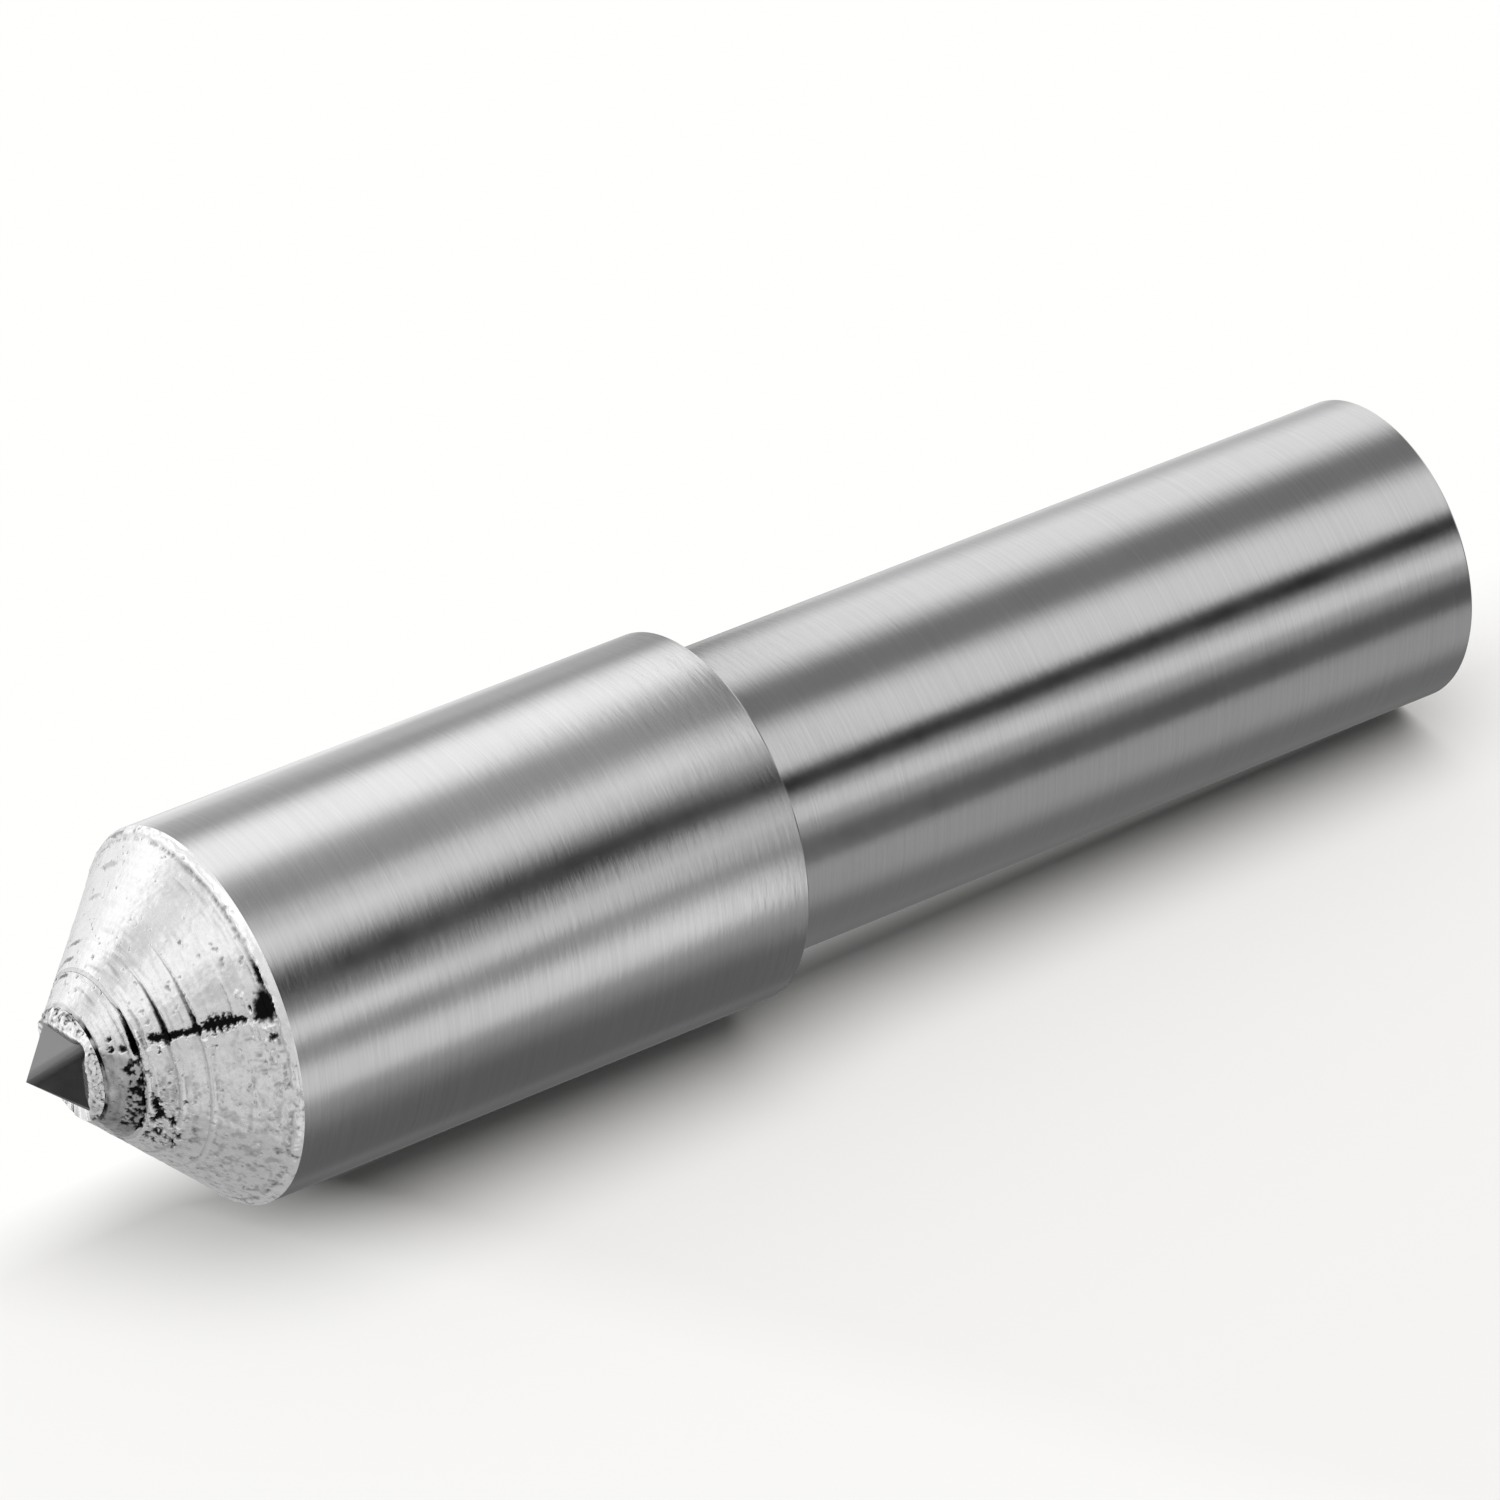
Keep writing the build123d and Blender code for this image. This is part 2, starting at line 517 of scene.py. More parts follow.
# Heights and depths of the marks
TURNING_HEIGHT = 0.010
LUMP_HEIGHT = 0.008
LOWER_LUMP_HEIGHT = 0.010
GRAIN_HEIGHT = 0.004
BURR_HEIGHT = 0.07
CUT_DEPTH = 0.09
PIT_DEPTH = 0.04
PIT_RIM_HEIGHT = 0.02
# The ridge behind each ring groove, raised and painted bright as a painted highlight, and its
# height as a share of the groove's depth
RIDGE_GAP = 0.05
RIDGE_HALF_WIDTH = 0.07
RIDGE_SHARE = 0.6
# Ring grooves of this depth or more get the full painted shade
DARK_RING_DEPTH = 0.07
# Noise value above which a pit starts: without density, and how far density lowers it
HOLDER_PIT_LEVEL = 0.66
INSERT_PIT_LEVEL = 0.6
PIT_SPREAD = 0.74
# How soft a pit's edge is, what density adds to that, and how far out its bright rim lies
PIT_EDGE = 0.12
PIT_EDGE_SPREAD = 0.08
PIT_RIM_GAP = 0.10


def ring_wear_and_painted_light(angle, wobble):
    """Width of the ring grooves and their painted shade, greatest where they meet the scratch, and
    the painted highlight on the ridges behind them, which also scales the ridges' height."""
    gap = turn_gap(angle, SCRATCH_ANGLE)
    above = gap <= 0
    below = 1 - rise(gap, 1, 8)
    width = np.where(above, rise(gap, -52, 0) ** 2.2, 0.22 + 0.78 * below)
    dark = np.where(above, rise(gap, -50, -14), 0.30 + 0.70 * below)
    hidden = rise(np.abs(gap), FAR_SIDE_GAP - 8, FAR_SIDE_GAP)
    broken = rise(wobble, -0.3, 0.3)
    width += hidden * (0.6 * broken - width)
    dark += hidden * (0.9 * broken - dark)
    gleam = np.maximum(dark, 0.8 * between(angle, 0, 75, 10)) * (1 - hidden)
    return width, dark, gleam


def spot(distance, angle, radius, place, turn, half_length, half_width):
    """1 in the middle of an oval spot, falling to 0 at its edge."""
    along = (distance - place) / half_length
    across = np.radians(turn_gap(angle, turn)) * radius / half_width
    return 1 - rise(np.hypot(along, across), 0.6, 1.0)


def scratch_depth(distance, angle, radius, jag):
    """Depth, from 0 to 1, of the jagged scratch and the gouges beside it."""
    places, turns, half_widths = zip(*SCRATCH)
    half_width = np.interp(distance, places, half_widths, 0, 0)
    wave = np.cos(2 * np.pi * (distance - COMB_START) / COMB_PITCH + 0.6 * jag)
    tooth = rise(wave, -0.95, -0.1)
    comb = between(distance, COMB_START, COMB_END, 0.02)
    half_width = half_width * (1 - COMB_DEPTH * comb * (1 - tooth)) * (1 + 0.35 * jag)
    middle = np.interp(distance, places, turns)
    across = np.abs(np.radians(turn_gap(angle, middle)) * radius)
    share = across / np.maximum(half_width, SCRATCH_LEAST)
    depth = np.where(half_width > SCRATCH_LEAST, 1 - rise(share, 0.7, 1.05), 0)
    for gouge in GOUGES:
        depth = np.maximum(depth, spot(distance, angle, radius, *gouge))
    return depth


def pit_density(distance, angle):
    """How closely the dark pits lie: in the insert's rear half, in two bands behind it and, more
    thinly, on the far side."""
    zones = []
    for reach, arcs in PIT_ZONES:
        arc_density = sum(density * between(angle, *arc) for density, *arc in arcs)
        zones.append(arc_density * between(distance, *reach))
    return np.maximum.reduce(zones)


def streaks(points, distance, angle):
    """Tone of the fine turning marks and of the marks down the slope beside the scratch."""
    rings = field(points, 0.11 * MM, octaves=2, seed=71.0, squash=(0.12, 0.12, 1))
    upper = between(angle, -62, 4, 10) * (1 - rise(distance, 3.3, 4.2))
    rear = between(angle, -45, 8, 12) * between(distance, 5.45, 5.8, 0.1)
    turned = rings * (0.06 + 0.36 * upper + 0.3 * rear)
    radius = np.hypot(points[..., 0], points[..., 1])[..., None]
    sloped = np.concatenate([points[..., :2] / radius * 5 * MM, points[..., 2:] * 0.3], axis=-1)
    beside = between(distance, 5.1, 5.75, 0.15) * between(angle, 8, 24, 5)
    return turned + field(sloped, 0.07 * MM, octaves=1, seed=9.0) * (0.03 + 0.45 * beside)


def wear_and_painted_light(points, angle, pit_level):
    """Lift along the flank's normal, in metres, and tone of the worn cone.

    Angles from 8 to 100 are its rougher lower side. The tone holds painted shade in the ring
    grooves and the scratch, and painted highlights on the burrs and the ridges.
    """
    distance = (cone_tip_z - points[..., 2]) / MM
    radius = np.hypot(points[..., 0], points[..., 1]) / MM
    angle = turn_gap(angle, 0)
    wobble = field(points, 0.9 * MM, octaves=2, seed=3.0)
    jag = field(points, 0.10 * MM, octaves=2, seed=17.0)
    jag_turn = field(points, 0.08 * MM, octaves=2, seed=47.0)
    jagged = distance + JAG * jag
    jagged_angle = angle + np.degrees(2 * JAG * jag_turn / radius)
    lower = between(angle, 8, 100, 6)
    rough_side = lower * (0.5 + 0.4 * rise(angle, 35, 60) + 0.4 * rise(distance, 5.2, 5.6))

    turning = field(points, 0.22 * MM, octaves=3, seed=71.0, squash=(0.05, 0.05, 1))
    lumps = field(points, 0.45 * MM, octaves=3, seed=11.0)
    grain = field(points, 0.14 * MM, octaves=2, seed=5.0)
    blotches = np.tanh(3 * field(points, 0.3 * MM, octaves=2, seed=77.0))
    lift = TURNING_HEIGHT * turning + (LUMP_HEIGHT + LOWER_LUMP_HEIGHT * lower) * lumps
    lift += GRAIN_HEIGHT * grain
    tone = streaks(points, distance, angle) + 0.3 * rough_side * blotches
    flecks = field(points, 0.17 * MM, octaves=2, seed=131.0)
    tone += rough_side * (0.3 * rise(flecks, 0.3, 0.6) - 0.6 * rise(-flecks, 0.3, 0.6))
    for *place, level in PATCHES:
        tone += level * spot(jagged, jagged_angle, radius, *place)
    # Burrs: raised, and painted bright as a painted highlight
    for highlit_burr in HIGHLIT_BURRS:
        weight = spot(jagged, jagged_angle, radius, *highlit_burr)
        lift += BURR_HEIGHT * weight
        tone -= weight

    # Ring grooves: cut in and painted dark as painted shade, each with a raised ridge behind it
    # that is painted bright as a painted highlight
    width, ring_dark, gleam = ring_wear_and_painted_light(angle, wobble)
    for place, half_width, depth in RINGS:
        wide = half_width * (0.2 + 0.8 * width)
        groove = notch(distance + 0.3 * JAG * jag + 0.02 * wobble, place, wide)
        lift -= depth * (0.25 + 0.75 * width) * groove
        ridge_place = place + wide + RIDGE_GAP
        ridge = notch(distance + 0.02 * wobble, ridge_place, RIDGE_HALF_WIDTH)
        lift += RIDGE_SHARE * depth * gleam * ridge
        strength = min(1, depth / DARK_RING_DEPTH)
        tone -= strength * gleam * ridge
        tone = np.maximum(tone, rise(groove, 0.05, 0.55) * ring_dark * strength)

    density = pit_density(distance, angle)
    speckle = field(points, 0.19 * MM, octaves=2, seed=31.0)
    pit_start = pit_level - PIT_SPREAD * density
    rims = density * notch(speckle, pit_start - PIT_RIM_GAP, PIT_EDGE)
    tone -= 0.9 * rims
    pits = rise(speckle, pit_start, pit_start + PIT_EDGE + PIT_EDGE_SPREAD * density)
    tone = np.maximum(tone, pits * np.clip(0.4 + 0.7 * density + 0.4 * grain, 0, 1))
    # The scratch and gouges are cut in and painted black, as painted shade and a painted dark
    # reflection in them
    cut = scratch_depth(jagged, jagged_angle, radius, jag)
    tone = np.maximum(tone, cut)
    lift += PIT_RIM_HEIGHT * rims - CUT_DEPTH * cut - PIT_DEPTH * pits
    return lift * MM, np.clip(tone, -1, 1)


# Holder
HOLDER_SEGMENTS = 790
FLANK_SPACING = 0.042 * MM
FILLET_STEP = 15
CONE_FACE_MARGIN = 0.01 * MM
# The lip and the furrow in front of it, in millimetres as above
LIP_START = 5.86
LIP_END = 6.05
LIP_EDGE = 0.06
LIP_WAVER = 0.04
LIP_HEIGHT = 0.05
FURROW_GAP = 0.06
FURROW_HALF_WIDTH = 0.08
FURROW_DEPTH = 0.03
# Marks darker than this stay dark on the lip
LIP_DARK_MARK = 0.5
# The wear fades out over these heights above the cone's base and below the bore's mouth
BASE_EASE = 0.06 * MM
MOUTH_EASE = (-0.01 * MM, 0.03 * MM)


def lip(points, angle):
    """Lift and tone of the lip round the cone's base, with pits in front of it: bright and smooth
    above the scratch, uneven below it, and dull near the top."""
    distance = (cone_tip_z - points[..., 2]) / MM
    turn = turn_gap(angle, 0)
    uneven = field(points, 0.5 * MM, octaves=2, seed=23.0)
    fine = field(points, 0.12 * MM, octaves=2, seed=91.0)
    rough = 1 - between(turn, -50, 0, 16)
    wavering = distance + LIP_WAVER * uneven
    band = rise(wavering, LIP_START, LIP_START + LIP_EDGE)
    bead = band * (1 - rise(wavering, LIP_END - LIP_EDGE, LIP_END))
    furrow = notch(distance, LIP_START - FURROW_GAP, FURROW_HALF_WIDTH)
    pitted_and_darkened = furrow * rise(fine, -0.3, 0.3) * rise(uneven, -0.4, 0.1)
    lift = LIP_HEIGHT * bead * (0.7 + 0.6 * uneven + 0.3 * rough * fine) - FURROW_DEPTH * pitted_and_darkened
    burnish = 0.75 - 0.4 * rough - 0.35 * between(turn, -112, -66, 10)
    burnish += 0.15 * uneven + rough * (0.35 * uneven + 0.45 * fine)
    tone = (0.4 + 0.2 * rough) * pitted_and_darkened + 0.3 * (1 - rough) * furrow
    return lift * MM, tone - band * burnish


def shape_holder(points, outward, angle):
    """Wear on the holder's cone, with painted shade and painted highlights. Shank, head and bore
    stay true.
    """
    rows = on_flank(points)
    flank = points[rows]
    tone = np.zeros(angle.shape)
    lift = np.zeros(angle.shape)
    worn_lift, wear_and_painted_light_tone = wear_and_painted_light(flank, angle[rows], HOLDER_PIT_LEVEL)
    lip_lift, lip_tone = lip(flank, angle[rows])
    ease = rise(flank[..., 2], cone_base_z, cone_base_z + BASE_EASE)
    ease *= rise(bore_mouth_z - flank[..., 2], *MOUTH_EASE)
    lift[rows] = (worn_lift + lip_lift) * ease
    marked = np.where(wear_and_painted_light_tone > LIP_DARK_MARK, wear_and_painted_light_tone, wear_and_painted_light_tone + lip_tone)
    tone[rows] = np.clip(marked, -1, 1)
    moved = points + outward * lift[..., None]
    reach = np.hypot(moved[..., 0], moved[..., 1])
    moved[..., :2] *= (np.minimum(reach, head_radius) / reach)[..., None]
    return moved, tone


def holder_profile():
    """The holder's turned outline, and the points where it has hard edges."""
    end = [(0, 0), (shank_radius - END_CHAMFER, 0), (shank_radius, END_CHAMFER)]
    fillet = [
        (
            shank_radius + SHOULDER_FILLET * (1 - math.cos(math.radians(turn))),
            shoulder_z - SHOULDER_FILLET * (1 - math.sin(math.radians(turn))),
        )
        for turn in range(0, 91, FILLET_STEP)
    ]
    head = [
        (head_radius - HEAD_CHAMFER, shoulder_z),
        (head_radius, shoulder_z + HEAD_CHAMFER),
        (head_radius, cone_base_z),
    ]
    flank = line((head_radius, cone_base_z), (bore_radius, bore_mouth_z), FLANK_SPACING)
    inside = [(bore_radius, bore_bottom_z), (0, bore_bottom_z)]
    points = end + fillet + head + flank + inside
    head_start = len(end) + len(fillet)
    hard = [1, 2, head_start, head_start + 1, head_start + 2, len(points) - 3, len(points) - 2]
    return points, hard


def make_holder():
    """Ground shank and head with the turned cone, all one piece."""
    profile, hard = holder_profile()
    piece = lathe("holder_turned", profile, HOLDER_SEGMENTS, shape_holder, hard)
    piece.data.materials.append(STEEL)
    piece.data.materials.append(TURNED)
    for face in piece.data.polygons:
        on_cone = face.center.z > cone_base_z + CONE_FACE_MARGIN
        face.material_index = 1 if on_cone else 0
    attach(piece, BODY)
    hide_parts("holder")


# Matrix insert
INSERT_SEGMENTS = 460
INSERT_SPACING = 0.036 * MM
# The groove behind the collar: distance and half width in millimetres, and depth
COLLAR_GROOVE = 1.86
COLLAR_GROOVE_HALF_WIDTH = 0.08
COLLAR_GROOVE_DEPTH = 0.05 * MM
# Marks darker than this stay dark in the darker part
DARKER_PART_MARK = 0.6


def shape_insert(points, outward, angle):
    """Rough front of the insert, darker and pitted on its lower side, with painted shade in the
    groove behind the collar.
    """
    rows = on_flank(points)
    front, turn = points[rows], turn_gap(angle[rows], 0)
    distance = (cone_tip_z - front[..., 2]) / MM
    lift, tone = np.zeros(angle.shape), np.zeros(angle.shape)
    worn_lift, wear_and_painted_light_tone = wear_and_painted_light(front, turn, INSERT_PIT_LEVEL)
    uneven = field(front, 0.4 * MM, octaves=2, seed=57.0)
    groove = notch(distance + 0.02 * uneven, COLLAR_GROOVE, COLLAR_GROOVE_HALF_WIDTH)
    # The groove behind the collar is cut deeper and painted darker along two arcs, as painted
    # shade in the groove
    dark_arc = 0.6 * between(turn, -34, 4, 12) + 0.5 * between(turn, 14, 84, 12)
    groove_reach = (0.3 + dark_arc) * (1 + 0.7 * uneven)
    darker_start = turn - 25 * (distance - 2.35)
    darker = between(darker_start, 13, 95, 8) * (0.42 + 0.12 * rise(turn, 40, 70) + 0.2 * uneven)
    lift[rows] = worn_lift - COLLAR_GROOVE_DEPTH * groove * groove_reach
    darker_tone = 0.6 * wear_and_painted_light_tone * (darker > 0) + darker
    darkened_tone = np.where(wear_and_painted_light_tone > DARKER_PART_MARK, wear_and_painted_light_tone, darker_tone)
    darkened_tone = np.where(darker > 0, darkened_tone, wear_and_painted_light_tone)
    tone[rows] = np.maximum(darkened_tone, rise(groove, 0, 0.5) * groove_reach)
    return points + outward * lift[..., None], np.clip(tone, -1, 1)


def make_insert():
    """Sintered slug that carries the stone, with its drilled socket."""
    profile = [(0, insert_bottom_z), (insert_radius, insert_bottom_z)]
    profile += [(insert_radius, flank_z(insert_radius))]
    profile += line(profile[-1], collar_rear_rim, INSERT_SPACING)
    hard = [1, 2, len(profile) - 1, len(profile)]
    profile += [(SOCKET_RADIUS, collar_rear_z), (SOCKET_RADIUS, socket_floor_z), (0, solder_tip_z)]
    piece = lathe("matrix_insert_rough", profile, INSERT_SEGMENTS, shape_insert, hard)
    piece.data.materials.append(MATRIX)
    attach(piece, BODY)
    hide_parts("matrix_insert")


# Braze joint
BRAZE_SEGMENTS = 400
BRAZE_SPACING = 0.02 * MM
# How far the joint lies under the cone, in millimetres: where it is flush, and where it has sunk
BRAZE_FLUSH = 0.003
BRAZE_SUNK = 0.12


def shape_braze(points, outward, angle):
    """The joint's front ring: flush on the upper side, sunk and black near the scratch, and ragged
    below it, where its inner edge is the darkest."""
    radius = np.hypot(points[..., 0], points[..., 1])
    front = (points[..., 2] > bore_mouth_z - CLOSE).all(axis=1)
    turn = turn_gap(angle[front], 0)
    uneven = field(points[front], 0.15 * MM, octaves=2, seed=37.0)
    near = rise(turn, -34, -8) * (1 - rise(turn, 6, 16))
    sunk = near + 0.6 * between(turn, 14, 68, 8) + 0.45 * between(np.abs(turn), 110, 180, 20)
    sunk = np.clip(sunk * (1 + 0.6 * uneven), 0, 1)
    inner = (bore_radius - radius[front]) / (bore_radius - insert_radius)
    moved, tone = points.copy(), np.zeros(angle.shape)
    recess = BRAZE_FLUSH + BRAZE_SUNK * sunk * (near + inner)
    moved[front, :, 2] = flank_z(radius[front]) - recess * MM
    tone[front] = rise(sunk * (0.6 + 0.8 * inner) + 0.25 * uneven, 0.35, 0.8)
    return moved, tone


def make_braze():
    """Thin brazed cup between the insert and the holder's bore."""
    profile = [(0, bore_bottom_z), (bore_radius, bore_bottom_z), (bore_radius, bore_mouth_z)]
    profile += line((bore_radius, bore_mouth_z), (insert_radius, bore_mouth_z), BRAZE_SPACING)
    profile += [(insert_radius, insert_bottom_z), (0, insert_bottom_z)]
    hard = (1, len(profile) - 2)
    piece = lathe("insert_braze_ring", profile, BRAZE_SEGMENTS, shape_braze, hard)
    piece.data.materials.append(BRAZE)
    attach(piece, BODY)
    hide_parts("insert_braze")


# Diamond
STONE_SEGMENTS = 320
STONE_REAR_SPACING = 0.2 * MM
STONE_FRONT_SPACING = 0.08 * MM
# Half the angle that one side of the stone's square section takes up
HALF_SIDE_ANGLE = 45
# Power that keeps the corners of the square sharp
EDGE_SHARPNESS = 40
WORN_EDGE_WIDTH = 0.3 * MM
stone_half_height = (point_z - stone_rear_z) / 2
girdle_z = (point_z + stone_rear_z) / 2
stone_corner_radius = diamond_high.x / math.cos(math.radians(STONE_TURN))
girdle_corner = (stone_corner_radius, girdle_z)


def stone_radius(z, angle):
    """Radius of the stone at a height and an angle: a square with slightly rounded corners."""
    corner = stone_corner_radius * np.clip(1 - np.abs(z - girdle_z) / stone_half_height, 0, 1)
    beta = np.radians(angle - STONE_TURN + HALF_SIDE_ANGLE)
    square = np.abs(np.cos(beta)) ** EDGE_SHARPNESS + np.abs(np.sin(beta)) ** EDGE_SHARPNESS
    return corner * math.cos(math.radians(HALF_SIDE_ANGLE)) / square ** (1 / EDGE_SHARPNESS)


def shape_stone(points, outward, angle):
    """The turned blank made four-sided, and dull along the edge that has cut the wheel."""
    radius = np.hypot(points[..., 0], points[..., 1])
    moved = points.copy()
    moved[..., :2] *= (stone_radius(points[..., 2], angle) / radius)[..., None]
    gap = turn_gap(angle, STONE_TURN)
    from_edge = np.abs(np.sin(np.radians(gap))) * np.hypot(moved[..., 0], moved[..., 1])
    worn_edge = (1 - np.clip(from_edge / WORN_EDGE_WIDTH, 0, 1)) * (np.abs(gap) < 90)
    return moved, worn_edge


def make_diamond():
    """Octahedral stone with hair-fine rounding along its edges."""
    profile = [(0, stone_rear_z)]
    profile += line((0, stone_rear_z), girdle_corner, STONE_REAR_SPACING)
    girdle_row = len(profile) - 1
    profile += line(girdle_corner, (0, point_z), STONE_FRONT_SPACING)
    piece = lathe("diamond_point", profile, STONE_SEGMENTS, shape_stone, (girdle_row,))
    piece.data.materials.append(DIAMOND)
    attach(piece, BODY)
    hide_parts("diamond")


# Solder collar
SOLDER_SEGMENTS = 440
COLLAR_SPACING = 0.022 * MM
CAVITY_FRONT_SPACING = 0.12 * MM
CAVITY_REAR_SPACING = 0.3 * MM
# Distance of the collar's front edge between its lobes
COLLAR_EDGE = 1.50
# Each lobe of the front edge: angle, half width, distance
COLLAR_LOBES = (
    (-146, 34, 1.76),
    (-116, 26, 1.72),
    (-84, 16, 1.45),
    (-58, 28, 1.40),
    (-12, 20, 1.62),
    (35, 26, 1.50),
    (77, 18, 1.58),
    (108, 34, 1.81),
    (148, 36, 1.81),
)
# How far behind the front edge the cavity starts, and its radius there before it is fitted to the
# stone, as a share of the stone's corner radius
COLLAR_LIP = 0.12 * MM
CAVITY_MOUTH_SHARE = 0.6
# Radius of the cavity, as a share of the stone's
CAVITY_FIT = 1.002
# Heights of the collar's outside, in millimetres: its swelling, its lumps, what the crumpled part
# adds to both, and its grain
SWELL_HEIGHT = 0.02
COLLAR_LUMP_HEIGHT = 0.03
CRUMPLE_HEIGHT = 0.05
COLLAR_GRAIN_HEIGHT = 0.01


def collar_edge(angle):
    """Distance, in millimetres, of the collar's front edge at each angle."""
    edge = np.full(angle.shape, COLLAR_EDGE)
    for centre, half_width, distance in COLLAR_LOBES:
        weight = 1 - rise(np.abs(turn_gap(angle, centre)), 0.2 * half_width, half_width)
        edge += weight * (distance - edge)
    return edge


def shape_solder(points, outward, angle):
    """Lumpy solder: its cavity fits the stone, its outside is crumpled on the upper side."""
    radius = np.hypot(points[..., 0], points[..., 1])
    outside = on_flank(points)
    cavity = np.arange(len(points)) > np.flatnonzero(outside).max()
    turn = turn_gap(angle[outside], 0)
    rear = (cone_tip_z - collar_rear_z) / MM
    front = (cone_tip_z - collar_front_z) / MM
    share = (rear - (cone_tip_z - points[outside][..., 2]) / MM) / (rear - front)
    distance = rear - share * (rear - collar_edge(turn))

    moved = points.copy()
    moved[outside, :, 2] = cone_tip_z - distance * MM
    moved[outside, :, :2] *= (flank_radius(moved[outside][..., 2]) / radius[outside])[..., None]
    crumple = between(turn, -122, -50, 14)
    lumps = field(moved[outside], 0.30 * MM, octaves=2, seed=63.0)
    fine = field(moved[outside], 0.11 * MM, octaves=2, seed=83.0)
    swell = (SWELL_HEIGHT + CRUMPLE_HEIGHT * crumple) * np.sin(np.pi * share) ** 0.7
    lumpy = (COLLAR_LUMP_HEIGHT + CRUMPLE_HEIGHT * crumple) * lumps + COLLAR_GRAIN_HEIGHT * fine
    lift = swell + lumpy * rise(share, 0, 0.15)
    moved[outside] += outward[outside] * (lift * MM)[..., None]

    drop = np.maximum(collar_edge(turn_gap(angle[cavity], 0)) - COLLAR_EDGE, 0) * MM
    squash = 1 - drop / (collar_front_z - COLLAR_LIP - stone_rear_z)
    moved[cavity, :, 2] = stone_rear_z + (moved[cavity][..., 2] - stone_rear_z) * squash
    stone = stone_radius(moved[cavity][..., 2], angle[cavity]) * CAVITY_FIT
    moved[cavity, :, :2] *= (stone / radius[cavity])[..., None]
    tone = np.zeros(angle.shape)
    seams = notch(lumps, -0.12, 0.16) * (0.3 + 0.7 * crumple)
    folds = crumple * (notch(share, 0.12, 0.14) * (0.6 + 0.5 * fine) + 0.15)
    beads = 0.75 * rise(fine, 0.1, 0.4) * (1 - 0.6 * crumple) * (1 - rise(share, 0.6, 0.85))
    # Painted shade: the collar is darker towards its upper and lower sides
    painted_side_shade = 0.2 * between(np.abs(turn), 76, 130, 10)
    tone[outside] = np.maximum(seams, folds) + beads + painted_side_shade
    tone[outside] -= 0.8 * rise(lumps, 0.12, 0.32) + 0.6 * rise(share, 0.8, 0.95)
    return moved, np.clip(tone, -1, 1)


def make_solder():
    """Solder that fills the socket round the stone and stands out as a collar."""
    front_rim = (flank_radius(collar_front_z), collar_front_z)
    profile = [(0, solder_tip_z), (SOCKET_RADIUS, socket_floor_z), (SOCKET_RADIUS, collar_rear_z)]
    profile += [collar_rear_rim] + line(collar_rear_rim, front_rim, COLLAR_SPACING)
    profile += [(stone_corner_radius * CAVITY_MOUTH_SHARE, collar_front_z - COLLAR_LIP)]
    profile += line(profile[-1], girdle_corner, CAVITY_FRONT_SPACING)
    profile += line(girdle_corner, (0, stone_rear_z), CAVITY_REAR_SPACING)
    piece = lathe("setting_solder_collar", profile, SOLDER_SEGMENTS, shape_solder, (1, 2, 3))
    piece.data.materials.append(SOLDER)
    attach(piece, BODY)
    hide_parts("setting_solder")


make_holder()
make_insert()
make_braze()
make_diamond()
make_solder()

# Camera, at the photograph's viewing angle: the tool lies across the picture
VIEW_AIM = Vector((1.31 * MM, 0, 23.91 * MM))
VIEW_AZIMUTH = -0.28
VIEW_ELEVATION = 28.76
VIEW_ROLL = 111.46
VIEW_DISTANCE = 309.27 * MM
VIEW_LENS = 240.94
VIEW_SENSOR = 36


def direction(azimuth, elevation):
    """Unit vector at an angle from -Y towards +X, and an angle above level."""
    turn, lift = math.radians(azimuth), math.radians(elevation)
    level = math.cos(lift)
    return Vector((math.sin(turn) * level, -math.cos(turn) * level, math.sin(lift)))


camera_data = bpy.data.cameras.new("camera")
camera_data.lens = VIEW_LENS
camera_data.sensor_width = VIEW_SENSOR
camera = add_object("camera", camera_data)
backward = direction(VIEW_AZIMUTH, VIEW_ELEVATION)
camera.rotation_mode = "QUATERNION"
camera.location = VIEW_AIM + backward * VIEW_DISTANCE
level_view = (-backward).to_track_quat("-Z", "Y")
roll = Euler((0, 0, -math.radians(VIEW_ROLL))).to_quaternion()
camera.rotation_quaternion = level_view @ roll
bpy.context.scene.camera = camera

# Floor: a pale sheet that the lying tool touches with its head's rear rim and its shank's end, so
# it stands upright in this frame
FLOOR_AZIMUTH = 47.6
FLOOR_HALF_SIZE = 1500 * MM
FLOOR_CLEARANCE = 0.01 * MM
FLOOR_COLOUR = (0.92, 0.909, 0.896, 1)
FLOOR_WHITE = (1, 1, 0.985, 1)
# The white starts and ends at these places across the sheet, and in front of the cone at these
# heights, which lean with the place across. In front of the cone it is painted light that partly
# lifts the shadow there
FAR_SIDE_START = -2.0 * MM
FAR_SIDE_END = 2.5 * MM
FRONT_LEAN = 0.6
FRONT_START = cone_base_z - 2.8 * MM
FRONT_END = cone_base_z + 1.0 * MM
FRONT_WHITE = 0.40

floor_side = direction(FLOOR_AZIMUTH, 0)
floor_tilt = math.atan2(head_radius - shank_radius, shoulder_z)
floor_normal = floor_side * math.cos(floor_tilt) + Vector((0, 0, math.sin(floor_tilt)))
far_side = direction(FLOOR_AZIMUTH + 90, 0)


